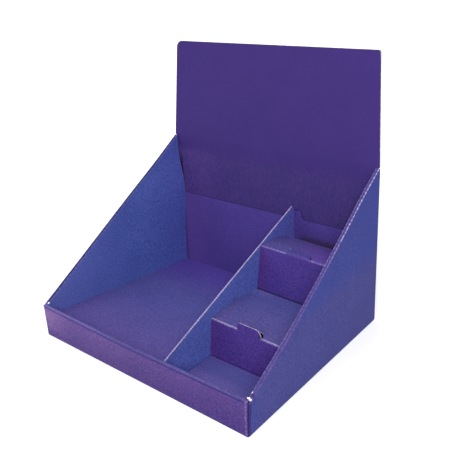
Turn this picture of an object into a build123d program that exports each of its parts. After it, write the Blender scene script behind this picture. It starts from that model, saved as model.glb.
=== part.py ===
from build123d import *
import os
from math import atan2, cos, hypot, radians, sin

# Counter display stand folded from printed corrugated board, in millimetres.
# X runs along the front, Y from the front to the back, Z up from the underside of the floor.
# The origin is under the middle of the whole stand, header included.

# Board and its folds
board = 1.6  # thickness of the fine-fluted corrugated board
ply_gap = 0.15  # air between two boards that lie against each other
seat_gap = 0.3  # room between a cut edge and the panel that it meets
crease = 1.1  # outside radius of a folded crease

# Tray: floor, front wall, side walls and back wall
width = 350.0
depth = 285.0
front_height = 46.3
side_height = 218.8  # side walls where they reach the back
front_flap = 36.0  # corner flaps of the front wall, tucked into the side walls
back_flap = 34.0  # corner flaps of the back wall, tucked into the side walls
back_flap_height = 150.0
flap_taper = 6.0  # how far the free end of a corner flap is cut in
corner_setback = 2.0  # the side walls' front edges start this far behind the front face

# The walls bow outwards: where along the wall, and how far it leans for each mm of its height
right_bow = ((0, 0.06), (66, 0.06), (120, 0.039), (165, 0.024), (245, 0), (285, 0))
front_bow = ((0, 0), (70, 0.03), (175, 0.066))
divider_lean = 0.048  # lean of the front wall where the divider pushes on it

# Header, which carries on upwards from the back wall
header_height = 143.0
header_lean = 4.0  # degrees that it leans back from the crease
header_bend = 9.0  # radius of the soft bend at its crease, along the middle of the board
header_taper = 9.0  # each side draws in by this much up to the top
header_left_round = 9.0
header_right_round = 3.0

# Tabs that hold an upright board in the floor
tab_length = 32.0
side_tab_front = 70.0  # middle of a side wall's front tab, from the front face
side_tab_back = 215.0

# Divider between the open bay and the stepped bay
step_bay = 122.7  # clear width between the divider and the right-hand wall
divider_front_height = 36.8
divider_back_height = 143.4
divider_back_cut = 5.0  # corner cut off its highest point
divider_hook_low = 12.0  # hook through the inner front wall
divider_hook_high = 28.0
divider_tab_front = 62.0
divider_tab_back = 226.0

# Liner that stands in front of the back wall
liner_height = 124.5
liner_ear_height = 137.0
liner_ear_width = 12.0
liner_ear_round = 8.0
liner_slot_bottom = 84.0
liner_tab_place = 95.0  # middle of a bottom tab, from the middle of the stand

# Sloping deck in the open bay
deck_front_height = 29.5  # its top surface over the front leg

# Step insert in the narrow bay, measured on its outer faces
step_1_place = 88.0  # foot of the first riser, from the front face
step_1_height = 56.8
step_1_lean = 6.5  # the first riser leans back by this much
step_2_place = 189.5
step_2_height = 112.0
step_2_lean = 12.0
tread_1_drop = 1.6  # each tread falls a little towards the back
tread_2_drop = 7.5
step_3_place = 262.0  # back edge of the upper tread
back_leg_lean = 3.0
relief_width = 16.0  # rear corners of the upper tread, cut away beside the leg
relief_depth = 7.0
fold_radius = 1.4  # radius of the insert's folds along the middle of the board

# Stop tabs cut from the treads
stop_aside = 2.8  # how far left of the insert's middle both tabs sit
stop_width = 35.0
stop_height = 9.5
stop_corner = 4.0
stop_round = 8.5
slit = 0.8  # width of a die-cut slit

# Worked out from the sizes above
half = width / 2
wall = 3 * board + 2 * ply_gap
inner_half = half - wall
end_half = half - board - ply_gap
lean = radians(header_lean)
header_reach = header_height * sin(lean)
slope = (side_height - front_height) / depth
strip_drop = board * hypot(1, slope)
divider_aside = inner_half - step_bay - board / 2
right_stations = [(place * depth / right_bow[-1][0], tilt) for place, tilt in right_bow]
left_stations = [(0, 0), (depth, 0)]
front_stations = [(place * half / front_bow[-1][0], tilt) for place, tilt in front_bow]
front_stations += [(half + divider_aside, divider_lean), (width, 0)]
right_reach = max(
    tilt * (front_height + slope * place - crease) for place, tilt in right_stations
)
front_reach = max(tilt * (front_height - crease) for place, tilt in front_stations)
middle_x = -right_reach / 2
front_y = -(depth + header_reach - front_reach) / 2
back_y = front_y + depth
middle_y = (front_y + back_y) / 2
inner_front_y = front_y + wall
liner_back_y = back_y - board - ply_gap
liner_front_y = liner_back_y - board
header_crease = side_height + ply_gap
header_top = header_crease + header_height * cos(lean)
divider_x = middle_x + divider_aside
side_tab_places = (front_y + side_tab_front, front_y + side_tab_back)
divider_tab_places = (front_y + divider_tab_front, front_y + divider_tab_back)
floor_top = board
strip_start = wall + ply_gap

os.makedirs("parts", exist_ok=True)

# Floor of the tray, with a rounded fold along each side and slots for the tabs of what stands on it.
with BuildPart() as floor:
    with BuildSketch():
        with Locations((middle_x, middle_y)):
            Rectangle(width, depth)
    extrude(amount=floor_top)
    fillet(floor.faces().sort_by(Axis.Z)[0].edges(), crease)
    with BuildSketch():
        for side in (-1, 1):
            for tab_y in side_tab_places:
                with Locations((middle_x + side * (inner_half + board / 2), tab_y)):
                    Rectangle(board + 2 * ply_gap, tab_length + 2 * seat_gap)
            with Locations((middle_x + side * liner_tab_place, liner_front_y + board / 2)):
                Rectangle(tab_length + 2 * seat_gap, board + 2 * ply_gap)
        for tab_y in divider_tab_places:
            with Locations((divider_x, tab_y)):
                Rectangle(board + 2 * ply_gap, tab_length + 2 * seat_gap)
    extrude(amount=floor_top, mode=Mode.SUBTRACT)


def rolled_wall(top, drop, tilt, low):
    """Section of a wall rolled over at its top, its outer face starting at the origin's line.

    Its own X points to the room and its own Y up. It leans away from the room by the tilt.
    """
    with BuildSketch(mode=Mode.PRIVATE) as section:
        with BuildLine():
            Polyline(
                (0, low),
                (-tilt * (top - low), top),
                (wall - tilt * (top - low), top),
                (wall, low),
                (wall - board, low),
                (wall - board - tilt * (top - drop - low), top - drop),
                (board - tilt * (top - drop - low), top - drop),
                (board, low),
                close=True,
            )
        make_face()
        fillet(section.vertices().group_by(Axis.Y)[-1], crease)
    return section.sketch


# Side walls. Each is one panel rolled over at the top: outer ply, narrow sloping strip between
# two creases, inner ply. The right-hand one bows out.
with BuildPart() as side_walls:
    for side, stations in ((-1, left_stations), (1, right_stations)):
        for place, tilt in stations:
            section_plane = Plane(
                origin=(middle_x + side * half, front_y + place, 0),
                x_dir=(-side, 0, 0),
                z_dir=(0, side, 0),
            )
            with BuildSketch(section_plane):
                add(rolled_wall(front_height + slope * place, strip_drop, tilt, crease))
        loft(ruled=True)
        # The strip and the inner ply stop short of the front wall and of the back wall.
        for start, stop, tilt in (
            (0, strip_start, stations[0][1]),
            (depth - board - ply_gap, depth, stations[-1][1]),
        ):
            cut_plane = Plane(
                origin=(middle_x + side * half, front_y + start, 0),
                x_dir=(-side, 0, 0),
                z_dir=(0, side, 0),
            )
            with BuildSketch(cut_plane):
                with BuildLine():
                    Polyline(
                        (board, crease),
                        (board - tilt * side_height, crease + side_height),
                        (half, crease + side_height),
                        (half, crease),
                        close=True,
                    )
                make_face()
            extrude(amount=side * (stop - start), mode=Mode.SUBTRACT)
        # The outer ply's front edge is cut a little behind the corner.
        with Locations(
            (
                middle_x + side * (half + width / 2 - board - ply_gap / 2),
                front_y + corner_setback / 2,
                floor_top + front_height,
            )
        ):
            Box(width, corner_setback, 2 * front_height, mode=Mode.SUBTRACT)
    # The inner ply stands on the floor and its tabs go down through the slots.
    with Locations((middle_x, middle_y, (floor_top + seat_gap) / 2)):
        Box(2 * (half - board), depth, floor_top + seat_gap, mode=Mode.SUBTRACT)
    for side in (-1, 1):
        for tab_y in side_tab_places:
            with Locations((middle_x + side * (inner_half + board / 2), tab_y, floor_top)):
                Box(board, tab_length, 2 * (floor_top - seat_gap))

# Front wall, rolled over like the sides and bowed out. Its ends fold back into flaps that are
# caught inside the side walls and twist to their lean.
with BuildPart() as front_wall:
    for place, tilt in front_stations:
        section_plane = Plane(
            origin=(middle_x + (place / half - 1) * end_half, front_y, 0),
            x_dir=(0, 1, 0),
            z_dir=(1, 0, 0),
        )
        with BuildSketch(section_plane):
            add(rolled_wall(front_height, board, tilt, crease))
    loft(ruled=True)
    with Locations((middle_x, inner_front_y - board / 2, (floor_top + seat_gap) / 2)):
        Box(width, board + ply_gap, floor_top + seat_gap, mode=Mode.SUBTRACT)
    for side, flap_tilt in ((-1, left_stations[0][1]), (1, right_stations[0][1])):
        with Locations(
            (
                middle_x + side * (half - (wall + ply_gap) / 2),
                front_y + board + (wall - board) / 2,
                (front_height - board) / 2,
            )
        ):
            Box(wall + ply_gap, wall - board, front_height - board, mode=Mode.SUBTRACT)
        flap_low = floor_top + ply_gap
        flap_high = front_height - board - ply_gap
        for flap_y, tilt, taper in (
            (board / 2, 0, 0),
            (strip_start, flap_tilt, 0),
            (front_flap, flap_tilt, flap_taper),
        ):
            section_plane = Plane(
                origin=(middle_x + side * end_half, front_y + flap_y, 0),
                x_dir=(-side, 0, 0),
                z_dir=(0, side, 0),
            )
            with BuildSketch(section_plane):
                with BuildLine():
                    Polyline(
                        (-tilt * (flap_low + taper), flap_low + taper),
                        (-tilt * (flap_high - taper), flap_high - taper),
                        (board - tilt * (flap_high - taper), flap_high - taper),
                        (board - tilt * (flap_low + taper), flap_low + taper),
                        close=True,
                    )
                make_face()
        loft(ruled=True)
    # Rounded upright folds at the two corners.
    with BuildSketch(Plane.XY.offset(floor_top)):
        for side in (-1, 1):
            with Locations((middle_x + side * (end_half - crease / 2), front_y + crease / 2)):
                Rectangle(crease, crease)
        for side in (-1, 1):
            with Locations((middle_x + side * (end_half - crease), front_y + crease)):
                Circle(crease, mode=Mode.SUBTRACT)
    extrude(amount=front_height - board - floor_top, mode=Mode.SUBTRACT)
    # Slot in the inner ply for the divider's hook.
    with Locations(
        (
            divider_x,
            inner_front_y - board,
            (divider_hook_low + divider_hook_high) / 2,
        )
    ):
        Box(
            board + 2 * ply_gap,
            2 * board,
            divider_hook_high - divider_hook_low + 2 * seat_gap,
            mode=Mode.SUBTRACT,
        )

# Back wall and header, one panel with a crease across it just above the side walls.
with BuildPart() as back_wall:
    with BuildSketch(Plane.YZ.offset(middle_x - half)):
        with BuildLine():
            FilletPolyline(
                (back_y - board / 2, crease),
                (back_y - board / 2, header_crease),
                (
                    back_y - board / 2 + (header_height + board) * sin(lean),
                    header_crease + (header_height + board) * cos(lean),
                ),
                radius=header_bend,
            )
        trace(line_width=board)
    extrude(amount=width)
    outline_plane = Plane(
        origin=(middle_x, back_y + 2 * header_reach, 0),
        x_dir=(1, 0, 0),
        z_dir=(0, -1, 0),
    )
    with BuildSketch(outline_plane) as outline:
        with BuildLine():
            Polyline(
                (-end_half, 0),
                (end_half, 0),
                (end_half, header_crease),
                (half, header_crease),
                (half - header_taper, header_top),
                (-half + header_taper, header_top),
                (-half, header_crease),
                (-end_half, header_crease),
                close=True,
            )
        make_face()
        top_corners = outline.vertices().group_by(Axis.Y)[-1].sort_by(Axis.X)
        fillet(top_corners[0], header_left_round)
        top_corners = outline.vertices().group_by(Axis.Y)[-1].sort_by(Axis.X)
        fillet(top_corners[-1], header_right_round)
    extrude(amount=4 * header_reach + 4 * board, mode=Mode.INTERSECT)
    for side in (-1, 1):
        flap_start = middle_x + side * end_half - (board if side > 0 else 0)
        with BuildSketch(Plane.YZ.offset(flap_start)):
            with BuildLine():
                Polyline(
                    (back_y - board / 2, floor_top + ply_gap),
                    (back_y - back_flap, floor_top + ply_gap + flap_taper),
                    (back_y - back_flap, back_flap_height - flap_taper),
                    (back_y - board / 2, back_flap_height),
                    close=True,
                )
            make_face()
        extrude(amount=board)
    with BuildSketch(Plane.XY.offset(floor_top)):
        for side in (-1, 1):
            with Locations((middle_x + side * (end_half - crease / 2), back_y - crease / 2)):
                Rectangle(crease, crease)
        for side in (-1, 1):
            with Locations((middle_x + side * (end_half - crease), back_y - crease)):
                Circle(crease, mode=Mode.SUBTRACT)
    extrude(amount=back_flap_height - floor_top, mode=Mode.SUBTRACT)

# Tray: the five panels are one folded blank.
with BuildPart() as tray:
    add(floor.part)
    add(side_walls.part)
    add(front_wall.part)
    add(back_wall.part)
tray.part.label = "tray"
export_step(tray.part, "parts/tray.step")

# Back liner: a flat board in front of the back wall. The divider slides down into its slot,
# which has a raised ear on the side of the steps.
liner_half = inner_half - seat_gap
slot_right = divider_aside + board / 2 + ply_gap
liner_plane = Plane(origin=(middle_x, liner_back_y, 0), x_dir=(1, 0, 0), z_dir=(0, -1, 0))
with BuildPart() as back_liner:
    with BuildSketch(liner_plane) as liner_outline:
        with BuildLine():
            Polyline(
                (-liner_half, floor_top),
                (liner_half, floor_top),
                (liner_half, liner_height),
                (slot_right + liner_ear_width, liner_height),
                (slot_right + liner_ear_width, liner_ear_height),
                (slot_right, liner_ear_height),
                (slot_right, liner_height),
                (-liner_half, liner_height),
                close=True,
            )
        make_face()
        ear_root = liner_outline.vertices().sort_by_distance(
            (slot_right + liner_ear_width, liner_height, 0)
        )[0]
        fillet(ear_root, liner_ear_round)
        with Locations((divider_aside, (liner_slot_bottom + liner_ear_height) / 2)):
            Rectangle(
                board + 2 * ply_gap,
                liner_ear_height - liner_slot_bottom,
                mode=Mode.SUBTRACT,
            )
        for side in (-1, 1):
            with Locations((side * liner_tab_place, (floor_top + seat_gap) / 2)):
                Rectangle(tab_length, floor_top - seat_gap)
    extrude(amount=board)
back_liner.part.label = "back_liner"
export_step(back_liner.part, "parts/back_liner.step")

# Divider: a single board with all its edges cut. It stands on the floor, hooks into the inner
# front wall, and its tail goes through the liner's slot to the back wall.
top_fall = (divider_back_height - divider_front_height) / (
    depth - wall - board - divider_back_cut
)
tail_y = back_y - board - seat_gap
tail_low = liner_slot_bottom + seat_gap
with BuildPart() as divider:
    with BuildSketch(Plane.YZ.offset(divider_x - board / 2)):
        with BuildLine():
            Polyline(
                (inner_front_y + seat_gap, floor_top),
                (liner_front_y - seat_gap, floor_top),
                (liner_front_y - seat_gap, tail_low),
                (tail_y, tail_low),
                (tail_y, divider_back_height - divider_back_cut),
                (tail_y - divider_back_cut, divider_back_height),
                (
                    inner_front_y + seat_gap - divider_lean * divider_front_height,
                    divider_front_height,
                ),
                close=True,
            )
        make_face()
        for tab_y in divider_tab_places:
            with Locations((tab_y, (floor_top + seat_gap) / 2)):
                Rectangle(tab_length, floor_top - seat_gap)
        hook_depth = board + seat_gap + divider_lean * divider_hook_high
        with Locations(
            (
                inner_front_y + seat_gap - hook_depth / 2,
                (divider_hook_low + divider_hook_high) / 2,
            )
        ):
            Rectangle(hook_depth, divider_hook_high - divider_hook_low)
    extrude(amount=board)
divider.part.label = "divider"
export_step(divider.part, "parts/divider.step")

# Deck of the open bay: a board that slopes down to the back from a leg folded under its front.
# The middle line of the board is drawn and given its thickness.
deck_left = middle_x - inner_half + seat_gap
deck_right = divider_x - board / 2 - seat_gap
deck_front = inner_front_y + seat_gap + board / 2
deck_run = liner_front_y - seat_gap - deck_front
deck_slope = atan2(deck_front_height - 2 * floor_top, deck_run)
with BuildPart() as bay_deck:
    with BuildSketch(Plane.YZ.offset(deck_left)):
        with BuildLine():
            FilletPolyline(
                (deck_front, floor_top),
                (deck_front, deck_front_height - board / 2),
                (deck_front + deck_run, floor_top + board / 2 * cos(deck_slope)),
                radius=fold_radius,
            )
        trace(line_width=board)
    extrude(amount=deck_right - deck_left)
bay_deck.part.label = "bay_deck"
export_step(bay_deck.part, "parts/bay_deck.step")


def stop_outline(grow, root):
    """A stop tab seen square on, its fold on the X axis: nearly square left, rounded right."""
    with BuildSketch(mode=Mode.PRIVATE) as tab:
        with Locations((0, (stop_height + grow - root) / 2)):
            Rectangle(stop_width + 2 * grow, stop_height + grow + root)
        top = tab.vertices().group_by(Axis.Y)[-1].sort_by(Axis.X)
        fillet(top[0], stop_corner)
        top = tab.vertices().group_by(Axis.Y)[-1].sort_by(Axis.X)
        fillet(top[-1], stop_round)
    return tab.sketch


def across(fold, rise_y, rise_z):
    """Plane through a fold: its own X runs across the stand, its own Y up the panel."""
    return Plane(origin=(stop_x, *fold), x_dir=(1, 0, 0), z_dir=(0, -rise_z, rise_y))


# Step insert: one strip folded into floor, riser, tread, riser, tread and a leg at the back.
# The first tread's stop tab was left standing in the riser; the second lies in its tread.
step_left = divider_x + board / 2 + seat_gap
step_right = middle_x + inner_half - seat_gap
stop_x = (step_left + step_right) / 2 - stop_aside
half_board = board / 2
foot_front = (inner_front_y + seat_gap, floor_top + half_board)
foot_back = (front_y + step_1_place + half_board, floor_top + half_board)
fold_1 = (foot_back[0] + step_1_lean, step_1_height - half_board)
fold_2 = (front_y + step_2_place + half_board, fold_1[1] - tread_1_drop)
fold_3 = (fold_2[0] + step_2_lean, step_2_height - half_board)
fold_4 = (front_y + step_3_place - half_board, fold_3[1] - tread_2_drop)
leg_end = (fold_4[0] - back_leg_lean, 0)
with BuildPart() as step_insert:
    with BuildSketch(Plane.YZ.offset(step_left)):
        with BuildLine():
            FilletPolyline(
                foot_front,
                foot_back,
                fold_1,
                fold_2,
                fold_3,
                fold_4,
                leg_end,
                radius=fold_radius,
            )
        trace(line_width=board)
        # The leg's end is cut level where it stands on the floor.
        with Locations((middle_y, floor_top - board)):
            Rectangle(depth, 2 * board, mode=Mode.SUBTRACT)
    extrude(amount=step_right - step_left)
    # Rear corners of the upper tread, cut away beside the leg.
    with BuildSketch(Plane.XY.offset(floor_top)) as relief:
        for corner_x in (step_left, step_right):
            with Locations((corner_x, front_y + step_3_place)):
                Rectangle(2 * relief_width, 2 * relief_depth)
        inner_corners = relief.vertices().group_by(Axis.Y)[0].sort_by(Axis.X)[1:3]
        fillet(inner_corners, relief_depth / 2)
    extrude(amount=step_2_height, mode=Mode.SUBTRACT)
    # Hole that the first stop tab leaves in its tread.
    with BuildSketch(across(fold_1, 1, 0).offset(-board)):
        add(stop_outline(slit / 2, board))
    extrude(amount=2 * board, mode=Mode.SUBTRACT)
    # The tab itself, standing up in the plane of the riser.
    with BuildSketch(across(fold_1, step_1_lean, fold_1[1] - foot_back[1])):
        add(stop_outline(0, 2 * board))
    extrude(amount=half_board, both=True)
    # Slit round the second stop tab.
    with BuildSketch(across(fold_3, 1, 0)):
        add(stop_outline(slit / 2, -half_board))
        add(stop_outline(-slit / 2, board), mode=Mode.SUBTRACT)
    extrude(amount=2 * board, both=True, mode=Mode.SUBTRACT)
step_insert.part.label = "step_insert"
export_step(step_insert.part, "parts/step_insert.step")
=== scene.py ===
import bpy
import bmesh
from math import cos, hypot, pi, radians, sin, sqrt, tan
from mathutils import Matrix, Vector


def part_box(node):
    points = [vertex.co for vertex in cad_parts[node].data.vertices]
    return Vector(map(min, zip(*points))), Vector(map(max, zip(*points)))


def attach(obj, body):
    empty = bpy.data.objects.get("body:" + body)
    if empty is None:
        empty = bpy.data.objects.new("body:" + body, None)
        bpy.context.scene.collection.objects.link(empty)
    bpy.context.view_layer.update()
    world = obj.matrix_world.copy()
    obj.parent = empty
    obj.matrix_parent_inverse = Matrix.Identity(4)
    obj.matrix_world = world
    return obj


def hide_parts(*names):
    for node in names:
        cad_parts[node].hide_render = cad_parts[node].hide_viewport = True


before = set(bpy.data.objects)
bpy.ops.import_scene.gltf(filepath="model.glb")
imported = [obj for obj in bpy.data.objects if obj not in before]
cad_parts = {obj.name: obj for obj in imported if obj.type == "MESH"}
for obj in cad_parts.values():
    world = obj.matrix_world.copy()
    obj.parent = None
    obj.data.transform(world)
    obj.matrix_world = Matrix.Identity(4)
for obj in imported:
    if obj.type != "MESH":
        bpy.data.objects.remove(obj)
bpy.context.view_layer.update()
scene = bpy.context.scene
scene.view_settings.view_transform = "Standard"

# Camera. It looks down at the stand from the front right, tipped a little to one side, as the
# photograph was taken.
photo_width = 449
photo_height = 466
focal_pixels = 632.9
middle_column = 224.5
middle_row = 205.0
camera_place = Vector((0.5085, -0.5587, 0.46879))
azimuth = radians(40.42)
elevation = radians(21.035)
roll = radians(-3.15)
ahead = Vector(
    (-sin(azimuth) * cos(elevation), cos(azimuth) * cos(elevation), -sin(elevation))
)
level_right = ahead.cross(Vector((0, 0, 1))).normalized()
level_up = level_right.cross(ahead)
camera_right = cos(roll) * level_right + sin(roll) * level_up
camera_up = cos(roll) * level_up - sin(roll) * level_right
camera_data = bpy.data.cameras.new("camera")
camera = bpy.data.objects.new("camera", camera_data)
scene.collection.objects.link(camera)
camera.matrix_world = Matrix.Translation(camera_place) @ Matrix(
    (camera_right, camera_up, -ahead)
).transposed().to_4x4()
camera_data.sensor_fit = "VERTICAL"
camera_data.sensor_height = 36.0
camera_data.lens = focal_pixels / photo_height * camera_data.sensor_height
camera_data.shift_x = (photo_width / 2 - middle_column) / photo_height
camera_data.shift_y = (middle_row - photo_height / 2) / photo_height
camera_data.clip_start = 0.01
scene.camera = camera

# Floor and light. A matt white sheet far wider than the stand, an even white sky, and three soft
# lamps: the main one at the front right beside the camera, a weak one at the front left, and one
# from above.
floor_mesh = bpy.data.meshes.new("floor")
reach = 6.0
floor_mesh.from_pydata(
    [(-reach, -reach, 0), (reach, -reach, 0), (reach, reach, 0), (-reach, reach, 0)],
    [],
    [(0, 1, 2, 3)],
)
floor = bpy.data.objects.new("floor", floor_mesh)
scene.collection.objects.link(floor)


def new_material(name, roughness, specular):
    """A material, its shader, and the output that says where on the object a point is."""
    material = bpy.data.materials.new(name)
    material.use_nodes = True
    nodes = material.node_tree.nodes
    shader = nodes["Principled BSDF"]
    shader.inputs["Roughness"].default_value = roughness
    shader.inputs["Specular IOR Level"].default_value = specular
    return material, shader, nodes.new("ShaderNodeTexCoord").outputs["Object"]


def is_output(source):
    """Whether a source is another node's output."""
    return isinstance(source, bpy.types.NodeSocket)


def new_node(kind, *sources):
    """A node in the same material as the outputs that lead to it."""
    beside = next(source for source in sources if is_output(source))
    return beside.id_data.nodes.new("ShaderNode" + kind)


def feed(source, target):
    """Leads a value or another node's output into a socket."""
    if is_output(source):
        target.id_data.links.new(source, target)
    else:
        target.default_value = source


def reckon(operation, *sources):
    """One step of arithmetic on shader values."""
    step = new_node("Math", *sources)
    step.operation = operation
    for source, target in zip(sources, step.inputs):
        feed(source, target)
    return step.outputs[0]


def fade(value, low, high, before=0.0, after=1.0):
    """0 before low and 1 past high, or two other values, soft in between; low may be higher."""
    if low > high:
        low, high, before, after = high, low, after, before
    span = new_node("MapRange", value)
    span.interpolation_type = "SMOOTHSTEP"
    limits = {"From Min": low, "From Max": high, "To Min": before, "To Max": after}
    for socket, number in {"Value": value, **limits}.items():
        feed(number, span.inputs[socket])
    return span.outputs["Result"]


def distance_from(where, point):
    """How far each place on the object is from a point."""
    away = new_node("VectorMath", where)
    away.operation = "DISTANCE"
    feed(where, away.inputs[0])
    away.inputs[1].default_value = point
    return away.outputs["Value"]


white_sheet, shader, spot = new_material("white_sheet", 0.9, 0.1)
grain = new_node("TexNoise", spot)
grain.inputs["Scale"].default_value = 300.0
paper_tone = new_node("ValToRGB", spot)
for stop, tone in zip(paper_tone.color_ramp.elements, (0.93, 0.97)):
    stop.color = (tone, tone, tone, 1)
feed(grain.outputs["Fac"], paper_tone.inputs["Fac"])
feed(paper_tone.outputs["Color"], shader.inputs["Base Color"])
# To the camera the sheet glows a little, more so far from the stand, so that it is white there.
glow = fade(distance_from(spot, (0, 0, 0)), 0.25, 1.4, 0.22, 0.95)
camera_ray = new_node("LightPath", spot).outputs["Is Camera Ray"]
feed(reckon("MULTIPLY", camera_ray, glow), shader.inputs["Emission Strength"])
shader.inputs["Emission Color"].default_value = (1, 1, 1, 1)
floor_mesh.materials.append(white_sheet)

world = bpy.data.worlds.new("studio")
scene.world = world
world.use_nodes = True
nodes = world.node_tree.nodes
sky = nodes["Background"]
seen_sky = nodes.new("ShaderNodeBackground")
for background, strength in ((sky, 0.42), (seen_sky, 1.0)):
    background.inputs["Strength"].default_value = strength
    background.inputs["Color"].default_value = (1, 1, 1, 1)
rays = nodes.new("ShaderNodeLightPath").outputs
is_seen = reckon("MAXIMUM", rays["Is Camera Ray"], rays["Is Glossy Ray"])
is_seen = reckon("MAXIMUM", is_seen, rays["Is Transmission Ray"])
backdrop = nodes.new("ShaderNodeMixShader")
for source, target in zip((is_seen, sky.outputs[0], seen_sky.outputs[0]), backdrop.inputs):
    feed(source, target)
feed(backdrop.outputs[0], nodes["World Output"].inputs["Surface"])

lamps = (
    ("lamp_main", (1.1, -1.3, 1.25), 0.9, 36.0),
    ("lamp_front_left", (-1.0, -1.4, 0.6), 0.9, 7.0),
    ("lamp_above", (-0.3, 0.1, 1.8), 1.2, 7.0),
)
lit_place = Vector((0, 0, 0.12))
for lamp_name, place, lamp_size, power in lamps:
    lamp_data = bpy.data.lights.new(lamp_name, "AREA")
    lamp_data.size = lamp_size
    lamp_data.energy = power
    lamp = bpy.data.objects.new(lamp_name, lamp_data)
    scene.collection.objects.link(lamp)
    lamp.location = place
    lamp.rotation_euler = (Vector(place) - lit_place).to_track_quat("Z", "Y").to_euler()

# Tray. One die-cut blank of fine-fluted board, printed violet on both sides. Its side and front
# walls are folded up, rolled over a narrow strip between two creases and tucked down inside;
# corner flaps are caught between the plies, and the back wall runs up into the header.
board = 0.0016
ply_gap = 0.00015
bend = 0.00095
crease = 0.0011
width = 0.34998
depth = 0.285
front_height = 0.0463
side_height = 0.2188
corner_setback = 0.002
lip = 0.0026
flap_taper = 0.006
front_y = -0.1460
half = width / 2
wall = 3 * board + 2 * ply_gap
end_half = half - board - ply_gap
round_half = end_half - bend - board / 2
slope = (side_height - front_height) / depth
middle_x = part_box("tray")[0].x + half + 0.00001
left_x = middle_x - half
right_x = middle_x + half
back_y = front_y + depth
strip_start = wall + ply_gap
right_lean = ((0, 0.06), (0.066, 0.06), (0.12, 0.039), (0.165, 0.024), (0.245, 0), (0.285, 0))
left_lean = ((0, 0), (0.15, 0), (0.23, -0.008), (0.285, 0))
front_lean = ((0, 0), (0.07, 0.03), (0.175, 0.066), (0.221, 0.048), (0.35, 0))
slack_ply = (
    (0.045, 0.0006), (0.08, 0.004), (0.116, 0.0074), (0.14, 0.0092), (0.162, 0.0045),
    (0.19, -0.0008), (0.21, 0),
)
slack_start = 0.16
strip_spread = 0.0009
ease = 0.014  # each bow is smoothed over this length either way
far_off = 0.05  # noted where no fold or cut edge is near


def lean_at(place, stations):
    """A value eased from station to station, such as a wall's lean for each metre of height."""
    total = 0.0
    for shift in (-ease, -ease / 2, 0.0, ease / 2, ease):
        spot = min(max(place + shift, stations[0][0]), stations[-1][0])
        for (start, low), (stop, high) in zip(stations, stations[1:]):
            if spot <= stop:
                total += low + (high - low) * (spot - start) / (stop - start)
                break
    return total / 5


def even_marks(length, count):
    """Distances along a flat run of board: close to both folds, and evenly between."""
    near = min(0.002, length / 4)
    steps = [near + (length - 2 * near) * number / count for number in range(count + 1)]
    return [0.0] + steps + [length]


def folded_line(corners, marks, radii):
    """Middle of a folded board seen end on: point, normal, run, distance to a fold, panel."""
    corners = [Vector(corner) for corner in corners]
    cuts = [0.0]
    half_arcs = []
    for before, here, after, radius in zip(corners, corners[1:], corners[2:], radii):
        turn = (here - before).angle(after - here)
        cuts.append(radius * tan(turn / 2))
        half_arcs.append((radius + board / 2) * turn / 2)
    cuts.append(0.0)
    line = []
    travelled = 0.0
    last = len(corners) - 2
    for number, (start, stop) in enumerate(zip(corners, corners[1:])):
        along = (stop - start).normalized()
        normal = Vector((-along.y, along.x))
        length = (stop - start).length - cuts[number] - cuts[number + 1]
        first = start + along * cuts[number]
        wanted = marks[number]
        for mark in even_marks(length, wanted) if isinstance(wanted, int) else wanted:
            nearest = far_off
            if number > 0:
                nearest = min(nearest, mark + half_arcs[number - 1])
            if number < last:
                nearest = min(nearest, length - mark + half_arcs[number])
            line.append((first + along * mark, normal, travelled + mark, nearest, number))
        travelled += length
        if number < last:
            radius = radii[number]
            after = (corners[number + 2] - stop).normalized()
            turn = along.angle(after)
            side = 1 if along.x * after.y - along.y * after.x > 0 else -1
            pivot = stop - along * cuts[number + 1] + normal * side * radius
            for part in (0.25, 0.5, 0.75):
                turned = Matrix.Rotation(side * turn * part, 2) @ normal
                point = pivot - turned * side * radius
                nearest = half_arcs[number] * abs(2 * part - 1)
                run = travelled + radius * turn * part
                line.append((point, turned, run, nearest, number + part))
            travelled += radius * turn
    return line


def start_sheet():
    """An empty mesh that notes, at each point, where it was on the flat sheet."""
    sheet = bmesh.new()
    for layer in ("run", "along", "fold", "cut", "wear_and_shade"):
        sheet.verts.layers.float.new(layer)
    return sheet


def notes_of(sheet, *names):
    """The layers of a sheet in which these are noted."""
    return [sheet.verts.layers.float[name] for name in names]


def note_plain(sheet, corners):
    """Notes that no fold and no cut edge is near these points."""
    fold_layer, cut_layer = notes_of(sheet, "fold", "cut")
    for corner in corners:
        corner[fold_layer] = corner[cut_layer] = far_off


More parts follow.
